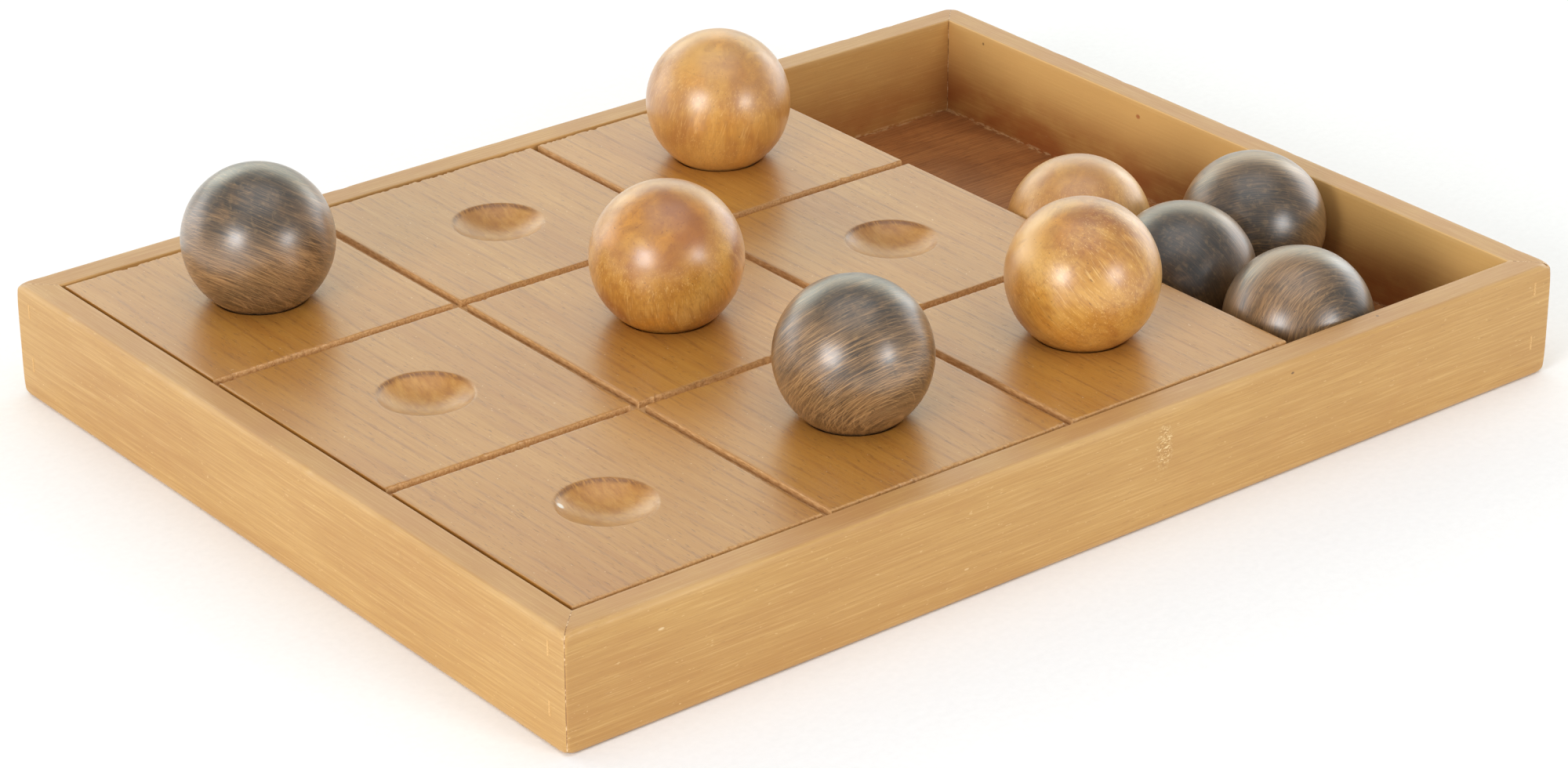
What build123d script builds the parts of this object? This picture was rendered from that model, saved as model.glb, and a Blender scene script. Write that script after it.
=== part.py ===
"""Noughts-and-crosses ball board: a mitred wooden tray that holds a nine-square playing board and,
at its right-hand end, an open trough for the wooden balls that aren't in play.

Frame: X runs along the tray with the trough at +X, Y runs from the front rail to the back rail,
Z is up, and the origin is the centre of the tray's underside.
"""

import os

from build123d import *

# ---------------------------------------------------------------------------------------------
# Driving dimensions, in millimetres
# ---------------------------------------------------------------------------------------------
TRAY_LENGTH = 457.0
TRAY_WIDTH = 345.0
TRAY_HEIGHT = 45.0
RAIL_THICKNESS = 12.0
CORNER_RADIUS = 2.2  # upright outer corners of the tray
EDGE_RADIUS = 2.0  # outer top and bottom edges of the rails
INNER_EASE = 0.5  # inner top edge of the rails
REBATE_WIDTH = 6.0  # step in the rails that the base panel sits in
BASE_THICKNESS = 4.0

BOARD_SIZE = 318.0
BOARD_THICKNESS = 12.0
BOARD_RECESS = 0.3  # board top below the rails' top
BOARD_GAP = 1.5  # slit between the board and the rails

GROOVE_SPACING = 108.6  # between the two parallel grooves
GROOVE_WIDTH = 3.8
GROOVE_DEPTH = 2.6
GROOVE_EASE = 0.3

BALL_RADIUS = 28.5
BALL_CLEARANCE = 0.3  # between a resting ball and the wood under it
SEAT_HEIGHT = 22.7  # ball centre above the board, for a ball in its dimple
SEAT_RIM_RADIUS = 0.6

CLEAT_THICKNESS = 10.0  # strips that carry the board, the divider among them

STAPLE_CROWN = 5.7  # narrow-crown staples, outside width
STAPLE_WIRE = 1.2  # wire width, in the plane of the staple
STAPLE_THICKNESS = 1.0  # wire thickness, across that plane
CORNER_STAPLE_LEG = 22.0
CORNER_STAPLE_SINK = 0.8
CORNER_STAPLE_INSET = 9.0  # from the tray's corner
CORNER_STAPLE_LEVELS = (14.5, 36.5)
BASE_STAPLE_LEG = 14.0
BASE_STAPLE_SINK = 0.4

MITRE_REACH = 30.0  # how far the mitre planes are drawn past the rails, for cutting

# ---------------------------------------------------------------------------------------------
# Derived sizes
# ---------------------------------------------------------------------------------------------
HALF_LENGTH = TRAY_LENGTH / 2
HALF_WIDTH = TRAY_WIDTH / 2
INNER_HALF_LENGTH = HALF_LENGTH - RAIL_THICKNESS
INNER_HALF_WIDTH = HALF_WIDTH - RAIL_THICKNESS

BOARD_X = -INNER_HALF_LENGTH + BOARD_GAP + BOARD_SIZE / 2
BOARD_RIGHT = BOARD_X + BOARD_SIZE / 2
BOARD_TOP = TRAY_HEIGHT - BOARD_RECESS
BOARD_BOTTOM = BOARD_TOP - BOARD_THICKNESS
CLEAT_HEIGHT = BOARD_BOTTOM - BASE_THICKNESS

# Dimples sit in the middle of their squares, so the outer ones follow the grooves and the edge.
CELL_PITCH = GROOVE_SPACING / 2 + (BOARD_SIZE - GROOVE_SPACING) / 4
SEAT_RADIUS = BALL_RADIUS + BALL_CLEARANCE
SEATED_Z = BOARD_TOP + SEAT_HEIGHT
STORED_Z = BASE_THICKNESS + BALL_CLEARANCE + BALL_RADIUS
TROUGH_LEFT = BOARD_RIGHT + BALL_CLEARANCE + BALL_RADIUS
TROUGH_RIGHT = INNER_HALF_LENGTH - BALL_CLEARANCE - BALL_RADIUS
TROUGH_FRONT = -INNER_HALF_WIDTH + BALL_CLEARANCE + BALL_RADIUS


def cell_centre(column, row, height):
    """Centre of a square, counted from the left front square at (0, 0), at the given height."""
    return (BOARD_X + (column - 1) * CELL_PITCH, (row - 1) * CELL_PITCH, height)


# Balls in play, by square, and stored balls, which lie in the front half of the trough.
DARK_BALLS = (
    cell_centre(0, 2, SEATED_Z),
    cell_centre(1, 0, SEATED_Z),
    (TROUGH_RIGHT - 1.0, -55.8, STORED_Z),
    (TROUGH_LEFT + 0.1, -74.4, STORED_Z),
    (TROUGH_LEFT + 4.7, TROUGH_FRONT + 0.1, STORED_Z),
)
LIGHT_BALLS = (
    cell_centre(2, 2, SEATED_Z),
    cell_centre(1, 1, SEATED_Z),
    cell_centre(2, 0, SEATED_Z),
    (TROUGH_LEFT + 0.1, -16.0, STORED_Z),
)


# ---------------------------------------------------------------------------------------------
# Staples
# ---------------------------------------------------------------------------------------------
def staple_plane(position, drive, across):
    """Plane of a staple: local x is the way it's driven, the normal is across its flat wire."""
    return Plane(origin=position, x_dir=drive, z_dir=across)


def staple_group(planes, leg, sink):
    """A staple in every plane, each a separate U-shaped solid with its crown sunk below the face."""
    with BuildPart() as staples:
        with BuildSketch(*planes):
            with Locations((sink + leg / 2, 0)):
                Rectangle(leg, STAPLE_CROWN)
            with Locations((sink + (leg + STAPLE_WIRE) / 2, 0)):
                Rectangle(leg - STAPLE_WIRE, STAPLE_CROWN - 2 * STAPLE_WIRE, mode=Mode.SUBTRACT)
        extrude(amount=STAPLE_THICKNESS / 2, both=True)
    return staples.part


def slot_group(planes, sink):
    """The short slot above each sunken crown."""
    with BuildPart() as slots:
        with BuildSketch(*planes):
            with Locations((sink / 2, 0)):
                Rectangle(sink, STAPLE_CROWN)
        extrude(amount=STAPLE_THICKNESS / 2, both=True)
    return slots.part


corner_planes = []
for level in CORNER_STAPLE_LEVELS:
    for side in (-1, 1):
        left_end = (-HALF_LENGTH, side * (HALF_WIDTH - CORNER_STAPLE_INSET), level)
        right_end = (HALF_LENGTH - CORNER_STAPLE_INSET, side * HALF_WIDTH, level)
        corner_planes.append(staple_plane(left_end, (1, 0, 0), (0, 1, 0)))
        corner_planes.append(staple_plane(right_end, (0, -side, 0), (1, 0, 0)))

rebate_middle_x = INNER_HALF_LENGTH + REBATE_WIDTH / 2
rebate_middle_y = INNER_HALF_WIDTH + REBATE_WIDTH / 2
divider_x = BOARD_RIGHT - CLEAT_THICKNESS / 2
base_planes = []
for column in (-1.5, -0.5, 0.5, 1.5):
    for side in (-1, 1):
        position = (column * TRAY_LENGTH / 4, side * rebate_middle_y, 0)
        base_planes.append(staple_plane(position, (0, 0, 1), (0, 1, 0)))
for row in (-1, 0, 1):
    for x in (-rebate_middle_x, BOARD_X, divider_x, rebate_middle_x):
        base_planes.append(staple_plane((x, row * TRAY_WIDTH / 3, 0), (0, 0, 1), (1, 0, 0)))

with BuildPart() as corner_staples:
    add(staple_group(corner_planes, CORNER_STAPLE_LEG, CORNER_STAPLE_SINK))

with BuildPart() as staple_filler:
    add(slot_group(corner_planes, CORNER_STAPLE_SINK))

with BuildPart() as base_staples:
    add(staple_group(base_planes, BASE_STAPLE_LEG, BASE_STAPLE_SINK))

base_slots = slot_group(base_planes, BASE_STAPLE_SINK)
fastener_holes = (corner_staples.part, staple_filler.part, base_staples.part, base_slots)

# ---------------------------------------------------------------------------------------------
# Tray: four mitred rails round a rebated base panel
# ---------------------------------------------------------------------------------------------
with BuildPart() as rail_ring:
    with BuildSketch(Plane.XY):
        Rectangle(TRAY_LENGTH, TRAY_WIDTH)
    extrude(amount=TRAY_HEIGHT)
    fillet(rail_ring.edges().filter_by(Axis.Z), CORNER_RADIUS)
    outer_rims = rail_ring.edges().group_by(Axis.Z)
    fillet(outer_rims[0] + outer_rims[-1], EDGE_RADIUS)
    with BuildSketch(Plane.XY):
        Rectangle(2 * INNER_HALF_LENGTH, 2 * INNER_HALF_WIDTH)
    extrude(amount=TRAY_HEIGHT, mode=Mode.SUBTRACT)
    inner_walls = rail_ring.faces().filter_by(Axis.Z, reverse=True).filter_by(GeomType.PLANE)
    inner_walls = inner_walls.filter_by(lambda wall: abs(wall.center().X) < HALF_LENGTH - 1)
    inner_walls = inner_walls.filter_by(lambda wall: abs(wall.center().Y) < HALF_WIDTH - 1)
    chamfer(inner_walls.edges().group_by(Axis.Z)[-1], INNER_EASE)
    with BuildSketch(Plane.XY):
        Rectangle(2 * (INNER_HALF_LENGTH + REBATE_WIDTH), 2 * (INNER_HALF_WIDTH + REBATE_WIDTH))
    extrude(amount=BASE_THICKNESS, mode=Mode.SUBTRACT)


def mitre_outline(along_x, side):
    """Corners of the mitred stretch of one rail, seen from above, cut at 45 degrees at each end."""
    outer = MITRE_REACH
    inner = -MITRE_REACH
    if along_x:
        reach_out = (HALF_LENGTH + outer, side * (HALF_WIDTH + outer))
        reach_in = (HALF_LENGTH + inner, side * (HALF_WIDTH + inner))
        return [
            reach_out,
            (-reach_out[0], reach_out[1]),
            (-reach_in[0], reach_in[1]),
            reach_in,
        ]
    reach_out = (side * (HALF_LENGTH + outer), HALF_WIDTH + outer)
    reach_in = (side * (HALF_LENGTH + inner), HALF_WIDTH + inner)
    return [
        reach_out,
        (reach_out[0], -reach_out[1]),
        (reach_in[0], -reach_in[1]),
        reach_in,
    ]


def make_rail(label, along_x, side):
    """One rail of the tray, cut out of the whole ring between its two mitres."""
    with BuildPart() as rail:
        add(rail_ring.part)
        with BuildSketch(Plane.XY):
            Polygon(*mitre_outline(along_x, side), align=None)
        extrude(amount=TRAY_HEIGHT, mode=Mode.INTERSECT)
        add(fastener_holes, mode=Mode.SUBTRACT)
    rail.part.label = label
    return rail.part


left_rail = make_rail("left_rail", along_x=False, side=-1)
right_rail = make_rail("right_rail", along_x=False, side=1)
front_rail = make_rail("front_rail", along_x=True, side=-1)
back_rail = make_rail("back_rail", along_x=True, side=1)

with BuildPart() as base_panel:
    with BuildSketch(Plane.XY):
        Rectangle(2 * (INNER_HALF_LENGTH + REBATE_WIDTH), 2 * (INNER_HALF_WIDTH + REBATE_WIDTH))
    extrude(amount=BASE_THICKNESS)
    add((base_staples.part, base_slots), mode=Mode.SUBTRACT)


# ---------------------------------------------------------------------------------------------
# Strips between the base panel and the playing board
# ---------------------------------------------------------------------------------------------
def make_strip(label, x_range, y_range):
    """A strip that stands on the base panel and reaches the underside of the board."""
    with BuildPart() as strip:
        with BuildSketch(Plane.XY.offset(BASE_THICKNESS)):
            with Locations((sum(x_range) / 2, sum(y_range) / 2)):
                Rectangle(x_range[1] - x_range[0], y_range[1] - y_range[0])
        extrude(amount=CLEAT_HEIGHT)
        add(base_staples.part, mode=Mode.SUBTRACT)
    strip.part.label = label
    return strip.part


divider_left = BOARD_RIGHT - CLEAT_THICKNESS
cleat_right = -INNER_HALF_LENGTH + CLEAT_THICKNESS
cleat_back = -INNER_HALF_WIDTH + CLEAT_THICKNESS
full_width = (-INNER_HALF_WIDTH, INNER_HALF_WIDTH)

left_cleat = make_strip("left_cleat", (-INNER_HALF_LENGTH, cleat_right), full_width)
front_cleat = make_strip("front_cleat", (cleat_right, divider_left), (-INNER_HALF_WIDTH, cleat_back))
back_cleat = make_strip("back_cleat", (cleat_right, divider_left), (-cleat_back, INNER_HALF_WIDTH))
trough_divider = make_strip("trough_divider", (divider_left, BOARD_RIGHT), full_width)
centre_bearer = make_strip(
    "centre_bearer",
    (BOARD_X - CLEAT_THICKNESS / 2, BOARD_X + CLEAT_THICKNESS / 2),
    (cleat_back, -cleat_back),
)

# ---------------------------------------------------------------------------------------------
# Playing board: two pairs of grooves and a dimple in each of the nine squares
# ---------------------------------------------------------------------------------------------
with BuildPart() as game_board:
    with BuildSketch(Plane.XY.offset(BOARD_BOTTOM)):
        with Locations((BOARD_X, 0)):
            Rectangle(BOARD_SIZE, BOARD_SIZE)
    extrude(amount=BOARD_THICKNESS)
    with BuildSketch(Plane.XY.offset(BOARD_TOP)):
        with Locations((BOARD_X, 0)):
            with GridLocations(GROOVE_SPACING, 0, 2, 1):
                Rectangle(GROOVE_WIDTH, BOARD_SIZE)
            with GridLocations(0, GROOVE_SPACING, 1, 2):
                Rectangle(BOARD_SIZE, GROOVE_WIDTH)
    extrude(amount=-GROOVE_DEPTH, mode=Mode.SUBTRACT)
    square_tops = game_board.faces().group_by(Axis.Z)[-1]
    chamfer(square_tops.edges(), GROOVE_EASE)
    with Locations((BOARD_X, 0, SEATED_Z)):
        with GridLocations(CELL_PITCH, CELL_PITCH, 3, 3):
            Sphere(SEAT_RADIUS, mode=Mode.SUBTRACT)
    rims = game_board.edges().filter_by(GeomType.CIRCLE).group_by(Axis.Z)[-1]
    fillet(rims, SEAT_RIM_RADIUS)


# ---------------------------------------------------------------------------------------------
# Balls
# ---------------------------------------------------------------------------------------------
def make_ball(label, centre):
    """A turned wooden ball at rest in its dimple or in the trough."""
    with BuildPart() as ball:
        with Locations(centre):
            Sphere(BALL_RADIUS)
    ball.part.label = label
    return ball.part


balls = []
for number, centre in enumerate(DARK_BALLS, start=1):
    balls.append(make_ball(f"dark_ball_{number}", centre))
for number, centre in enumerate(LIGHT_BALLS, start=1):
    balls.append(make_ball(f"light_ball_{number}", centre))

# ---------------------------------------------------------------------------------------------
# Export
# ---------------------------------------------------------------------------------------------
corner_staples.part.label = "corner_staples"
staple_filler.part.label = "staple_filler"
base_staples.part.label = "base_staples"
base_panel.part.label = "base_panel"
game_board.part.label = "game_board"

pieces = [left_rail, right_rail, front_rail, back_rail, base_panel.part, game_board.part]
pieces += [left_cleat, front_cleat, back_cleat, trough_divider, centre_bearer]
pieces += [corner_staples.part, staple_filler.part, base_staples.part]
pieces += balls

os.makedirs("parts", exist_ok=True)
for piece in pieces:
    export_step(piece, f"parts/{piece.label}.step")
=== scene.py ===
"""Looks for the wooden ball board: a mitred tray, a grooved board with dimples, and nine turned balls."""

import math

import bpy
import numpy as np
from mathutils import Euler, Matrix, Vector


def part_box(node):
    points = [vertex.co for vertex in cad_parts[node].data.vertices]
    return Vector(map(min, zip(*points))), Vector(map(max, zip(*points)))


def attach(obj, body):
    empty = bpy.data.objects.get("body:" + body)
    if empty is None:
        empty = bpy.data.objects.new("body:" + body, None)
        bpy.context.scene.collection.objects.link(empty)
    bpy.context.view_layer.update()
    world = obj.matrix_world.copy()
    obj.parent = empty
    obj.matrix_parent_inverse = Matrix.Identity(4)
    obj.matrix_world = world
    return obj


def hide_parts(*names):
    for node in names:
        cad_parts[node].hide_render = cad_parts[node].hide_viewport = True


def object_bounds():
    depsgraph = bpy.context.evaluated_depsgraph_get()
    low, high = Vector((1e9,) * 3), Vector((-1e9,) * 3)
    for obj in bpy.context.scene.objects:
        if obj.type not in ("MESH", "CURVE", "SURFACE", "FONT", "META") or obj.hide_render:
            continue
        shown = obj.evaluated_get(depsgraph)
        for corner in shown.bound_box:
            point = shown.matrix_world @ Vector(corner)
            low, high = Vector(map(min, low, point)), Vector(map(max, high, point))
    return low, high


MM = 0.001

# Camera, as the photograph was taken
CAMERA_AZIMUTH = -38.60
CAMERA_ELEVATION = 25.77
CAMERA_ROLL = -0.116
CAMERA_DISTANCE = 1.656
CAMERA_TARGET = (-0.0023, -0.0008, 0.0)
LENS = 101.1
SENSOR = 36.0

# Rails, in millimetres
EDGE_RADIUS = 2.0
INNER_EASE = 0.5
REBATE_WIDTH = 6.0
BASE_THICKNESS = 4.0
CORNER_RADIUS_MIDDLE = 1.0
CORNER_RADIUS_ENDS = 3.0
CORNER_RADIUS_FADE = 3.0
SANDING_SKIN = 0.04
SANDING_WAVE = 0.05
SANDING_WAVE_LENGTH = 60
CORNER_WEAR_REACH = 4.5
CORNER_TOP_DROP = 0.45
CORNER_BOTTOM_RISE = 0.35
SEAM_HALF_WIDTH = 0.30
RAIL_DING_COUNT = 9

# Board, in millimetres and degrees
GROOVE_SPACING = 108.6
GROOVE_HALF_WIDTH = 1.9
GROOVE_DEPTH = 2.6
GROOVE_EASE = 0.3
DIMPLE_PITCH = 106.65
DIMPLE_RADIUS = 28.8
DIMPLE_CENTRE_ABOVE_TOP = 22.7
DIMPLE_RIM = math.sqrt(DIMPLE_RADIUS**2 - DIMPLE_CENTRE_ABOVE_TOP**2)
DIMPLE_SOFTNESS = 0.16
BOARD_WAVE = 0.03
BOARD_WAVE_LENGTH = 70
CELL_STEPS = 116
CHIP_CLUSTER = 9
RIM_WHITE_SPOT_ANGLE = 141.5
RIM_WHITE_SPOT_FROM_MIDDLE = 15.6
RIM_WHITE_SPOT_DEPTH = 1.5

# Balls, in millimetres
BALL_STEPS = 52
BALL_DENT = 0.12
BALL_DENT_COUNT = 7

# Studio: the floor's gap below the tray in millimetres, and its half width in metres
FLOOR_GAP = 0.1
FLOOR_REACH = 6.0
FLOOR_STEPS = 24
WORLD_COLOUR = (0.95, 0.97, 1.0, 1.0)
WORLD_STRENGTH = 0.44


# ---------------------------------------------------------------- numbers and meshes


def srgb(red, green, blue):
    """A linear colour from display values of 0 to 255."""
    values = []
    for value in (red, green, blue):
        share = value / 255
        low = share <= 0.04045
        values.append(share / 12.92 if low else ((share + 0.055) / 1.055) ** 2.4)
    return (*values, 1.0)


def waves(points, length, seed, count=9):
    """Smooth seeded noise of about -1 to 1 over an array of points, its wavelength in their units."""
    rng = np.random.default_rng(seed)
    directions = rng.normal(size=(count, points.shape[-1]))
    directions /= np.linalg.norm(directions, axis=1, keepdims=True)
    directions *= 2 * math.pi / length * rng.uniform(0.6, 1.7, (count, 1))
    phases = rng.uniform(0, 2 * math.pi, count)
    return np.sin(points @ directions.T + phases).sum(-1) / math.sqrt(count)


def smooth(value, low, high):
    """A smooth step from 0 at low to 1 at high."""
    share = np.clip((value - low) / (high - low), 0, 1)
    return share * share * (3 - 2 * share)


def mesh_piece(name, points, faces, crease_degrees=40):
    """A smooth-shaded object from points in millimetres."""
    mesh = bpy.data.meshes.new(name)
    mesh.from_pydata((np.asarray(points) * MM).tolist(), [], faces)
    mesh.polygons.foreach_set("use_smooth", [True] * len(mesh.polygons))
    mesh.set_sharp_from_angle(angle=math.radians(crease_degrees))
    mesh.update()
    piece = bpy.data.objects.new(name, mesh)
    bpy.context.scene.collection.objects.link(piece)
    return piece


def grid_faces(rows, columns, wrap=False, offset=0):
    """Quads over a grid of points numbered row by row, closed along the columns where wrap is set."""
    across = columns if wrap else columns - 1
    row, column = np.meshgrid(np.arange(rows - 1), np.arange(across), indexing="ij")
    following = (column + 1) % columns
    quads = np.stack(
        [
            row * columns + column,
            row * columns + following,
            (row + 1) * columns + following,
            (row + 1) * columns + column,
        ],
        axis=-1,
    )
    return (quads.reshape(-1, 4) + offset).tolist()


def point_value(piece, name, values):
    """Stores one number for each vertex, for the piece's material to read."""
    attribute = piece.data.attributes.new(name, "FLOAT", "POINT")
    attribute.data.foreach_set("value", np.asarray(values, np.float32).ravel())


def box_mm(node):
    """A CAD node's lowest and highest corner, in millimetres."""
    low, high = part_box(node)
    return np.array(low) / MM, np.array(high) / MM


# ---------------------------------------------------------------- node helper


class Paint:
    """A material's node tree, with short calls for the nodes that every finish here shares."""

    def __init__(self, name, **shader):
        self.material = bpy.data.materials.new(name)
        self.material.use_nodes = True
        self.tree = self.material.node_tree
        self.tree.nodes.clear()
        self.output = self.node("OutputMaterial")
        self.shader = self.node("BsdfPrincipled")
        self.link(self.shader.outputs[0], self.output.inputs["Surface"])
        for socket, value in shader.items():
            self.shader.inputs[socket.replace("_", " ")].default_value = value
        self.object_coords = self.node("TexCoord").outputs["Object"]
        self.upright = Matrix.Identity(3)

    def node(self, kind):
        return self.tree.nodes.new("ShaderNode" + kind)

    def link(self, source, target):
        self.tree.links.new(source, target)

    def put(self, node, socket, value):
        """Sets an input to a number or colour, or links it to another node's output."""
        if isinstance(value, bpy.types.NodeSocket):
            self.link(value, node.inputs[socket])
        else:
            node.inputs[socket].default_value = value

    def space(self, x, y, z, turn=(0, 0, 0), shift=(0, 0, 0)):
        """Object coordinates divided by three lengths in millimetres, after a turn in degrees."""
        turned = self.node("Mapping")
        tilt = Euler([math.radians(angle) for angle in turn]).to_matrix() @ self.upright
        turned.inputs["Rotation"].default_value = tilt.to_euler()
        self.link(self.object_coords, turned.inputs["Vector"])
        scaled = self.node("Mapping")
        scaled.inputs["Scale"].default_value = [1 / (length * MM) for length in (x, y, z)]
        scaled.inputs["Location"].default_value = shift
        self.link(turned.outputs[0], scaled.inputs["Vector"])
        return scaled.outputs[0]

    def noise(self, vector, detail=2.0, rough=0.5, warp=0.0):
        node = self.node("TexNoise")
        settings = {"Scale": 1.0, "Detail": detail, "Roughness": rough, "Distortion": warp}
        self.link(vector, node.inputs["Vector"])
        for socket, value in settings.items():
            self.put(node, socket, value)
        return node.outputs[0]

    def math(self, operation, first, second):
        node = self.node("Math")
        node.operation = operation
        self.put(node, 0, first)
        self.put(node, 1, second)
        return node.outputs[0]

    def span(self, value, low, high, to_low=0.0, to_high=1.0):
        """A smooth step from to_low at low to to_high at high."""
        node = self.node("MapRange")
        node.interpolation_type = "SMOOTHSTEP"
        for index, number in enumerate((value, low, high, to_low, to_high)):
            self.put(node, index, number)
        return node.outputs[0]

    def times(self, *values):
        product = values[0]
        for value in values[1:]:
            product = self.math("MULTIPLY", product, value)
        return product

    def mix(self, share, under, over):
        node = self.node("Mix")
        node.data_type = "RGBA"
        self.put(node, 0, share)
        self.put(node, 6, under)
        self.put(node, 7, over)
        return node.outputs[2]

    def tint(self, colour, over, *shares):
        """The colour with some of a display colour over it, by the product of the shares."""
        return self.mix(self.times(*shares), colour, srgb(*over))

    def ramp(self, value, stops):
        """A blend of display colours, from stops of (place, colour)."""
        node = self.node("ValToRGB")
        elements = node.color_ramp.elements
        while len(elements) < len(stops):
            elements.new(0.5)
        for element, (place, colour) in zip(elements, stops):
            element.position = place
            element.color = srgb(*colour)
        self.link(value, node.inputs[0])
        return node.outputs[0]

    def towards(self, direction, low, high):
        """A soft patch on a ball round a direction from its middle, by the share of its radius that way."""
        node = self.node("VectorMath")
        node.operation = "NORMALIZE"
        self.link(self.object_coords, node.inputs[0])
        dot = self.node("VectorMath")
        dot.operation = "DOT_PRODUCT"
        self.link(node.outputs[0], dot.inputs[0])
        dot.inputs[1].default_value = Vector(direction).normalized()
        return self.span(dot.outputs["Value"], low, high)

    def parts(self, vector):
        node = self.node("SeparateXYZ")
        self.link(vector, node.inputs[0])
        return node.outputs

    def facing(self):
        """How much a face looks along each axis of the object at rest."""
        geometry = self.node("NewGeometry")
        turn = self.node("VectorTransform")
        turn.vector_type = "NORMAL"
        turn.convert_from = "WORLD"
        turn.convert_to = "OBJECT"
        self.link(geometry.outputs["True Normal"], turn.inputs[0])
        return self.parts(turn.outputs[0])

    def stored(self, name):
        node = self.node("Attribute")
        node.attribute_name = name
        return node.outputs["Fac"]

    def bump(self, height, depth_mm, under=None):
        node = self.node("Bump")
        node.inputs["Strength"].default_value = 1.0
        node.inputs["Distance"].default_value = depth_mm * MM
        self.link(height, node.inputs["Height"])
        if under is not None:
            self.link(under, node.inputs["Normal"])
        return node.outputs[0]

    def finish(self, colour, roughness, *normals):
        self.link(colour, self.shader.inputs["Base Color"])
        self.link(roughness, self.shader.inputs["Roughness"])
        if normals:
            self.link(normals[-1], self.shader.inputs["Normal"])
        return self.material


# ---------------------------------------------------------------- wood finishes


def along_axis(axis, length, width):
    """Lengths along x, y and z, with the long one along the grain."""
    return (length, width, width) if axis == "x" else (width, length, width)


def grain_layers(paint, axis, seed, streak=1.5):
    """Noise layers that every flat board shares. Streak is the width of its streaks in millimetres."""
    shift = (seed * 3.7, seed * 1.9, seed * 5.3)
    return {
        name: paint.noise(paint.space(*lengths, shift=shift), *detail)
        for name, lengths, detail in (
            ("cloud", along_axis(axis, 90, 22), (2, 0.5, 0.4)),
            ("streak", along_axis(axis, 75 * streak, streak), (3, 0.6, 0.2)),
            ("fibre", along_axis(axis, 26, 0.62), (3, 0.65)),
            ("pore", along_axis(axis, 4.2, 0.42), (1, 0.5)),
            ("stain", (34, 34, 34), (3, 0.6, 0.6)),
        )
    }


def rail_wood(name, axis, seed, inner_shade_share, inner_light_share):
    """Oiled honey wood of the tray's rails, with its grain along the rail.

    The last two arguments are the shares of painted shade that darkens its inner face downwards and of
    painted light that pales it upwards.
    """
    paint = Paint(name, Coat_Weight=0.25, Coat_Roughness=0.32, Specular_IOR_Level=0.5)
    layer = grain_layers(paint, axis, seed, streak=0.9)
    tone = paint.math("ADD", paint.times(layer["streak"], 0.45), paint.times(layer["cloud"], 0.55))
    tones = [(0.36, (186, 138, 72)), (0.48, (192, 146, 79)), (0.58, (197, 152, 84)), (0.70, (202, 158, 91))]
    colour = paint.ramp(tone, tones)
    fibre = paint.span(layer["fibre"], 0.40, 0.66)
    colour = paint.tint(colour, (170, 120, 62), fibre, 0.24)
    light = paint.span(layer["fibre"], 0.46, 0.32)
    colour = paint.tint(colour, (224, 184, 120), light, 0.26)
    pore = paint.span(layer["pore"], 0.68, 0.76)
    colour = paint.tint(colour, (132, 86, 42), pore, 0.25)
    stain = paint.span(layer["stain"], 0.56, 0.74)
    colour = paint.tint(colour, (184, 128, 68), stain, 0.18)
    fleck = paint.noise(paint.space(*along_axis(axis, 2.4, 0.8), shift=(seed, 3, seed)), 1, 0.5)
    colour = paint.tint(colour, (236, 204, 150), paint.span(fleck, 0.73, 0.79), 0.35)
    # painted shade on the faces that point up
    colour = painted_top_face_shade(paint, colour)
    # painted shade low and painted light high on the inner face, and dried glue at its foot
    colour = inner_painted_shade_light_and_glue(paint, colour, inner_shade_share, inner_light_share)
    # pale rubbed edges that are also a painted highlight on the rounded edges
    colour = edge_wear_and_highlight(paint, colour, layer)
    colour = mitre_line(paint, colour)
    colour = knocks(paint, colour)
    roughness = paint.span(layer["fibre"], 0.3, 0.7, 0.38, 0.50)
    grain = paint.bump(layer["fibre"], 0.04)
    relief = paint.bump(layer["streak"], 0.06, grain)
    return paint.finish(colour, roughness, relief)


def painted_top_face_shade(paint, colour):
    """Painted shade: the faces that point up are painted browner and duller by which way they face, broken
    up by noise.
    """
    up = paint.span(paint.facing()[2], 0.80, 0.97)
    shade_breakup = paint.span(paint.noise(paint.space(28, 28, 28), 3, 0.6), 0.35, 0.65, 0.55, 1.0)
    return paint.tint(colour, (178, 122, 76), up, shade_breakup, 0.50)


def inner_painted_shade_light_and_glue(paint, colour, inner_shade_share, inner_light_share):
    """The inside face has painted shade that darkens it downwards and painted light that pales it upwards,
    and dried glue along its foot.
    """
    inner = paint.stored("inner")
    height = paint.parts(paint.space(1, 1, 1))[2]
    shade_patches = paint.span(paint.noise(paint.space(26, 26, 14), 3, 0.6), 0.32, 0.64, 0.4, 1.0)
    low = paint.span(height, 4, 40, 1.0, 0.25)
    # painted shade: darker towards the foot of the inner face
    colour = paint.tint(colour, (154, 80, 34), inner, low, shade_patches, inner_shade_share)
    high = paint.span(height, 12, 42)
    # painted light: paler towards the top of the inner face
    colour = paint.tint(colour, (244, 198, 124), inner, high, inner_light_share)
    broken = paint.span(paint.noise(paint.space(3.5, 3.5, 1.2), 3, 0.65), 0.44, 0.58)
    foot = paint.times(inner, paint.span(height, 5.6, 4.4), broken, 0.6)
    return paint.tint(colour, (222, 186, 138), foot)


MARKS = (
    # rail, place on it for rail_place, reach along x, y and z in millimetres, colour, share
    ("front_rail", (93.0, 0.0, 40.0), (1.0, 3.0, 0.6), (92, 54, 30), 0.8),
    ("front_rail", (143.5, 8.0, 45.0), (0.8, 0.8, 3.0), (80, 50, 30), 0.7),
    ("right_rail", (42.0, 12.0, 38.5), (3.0, 1.6, 1.2), (176, 84, 44), 0.7),
    ("right_rail", (138.0, 12.0, 41.0), (3.0, 0.8, 0.8), (84, 50, 28), 0.7),
    ("front_rail", (-60.0, 0.0, 12.0), (1.4, 3.0, 0.5), (228, 196, 144), 0.6),
    ("front_rail", (-190.0, 0.0, 34.0), (1.6, 3.0, 0.6), (236, 206, 158), 0.7),
)
SCUFF_PLACE = (31.0, 0.0, 30.0)
SCUFF_REACH = (5.0, 3.0, 11.5)


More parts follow.
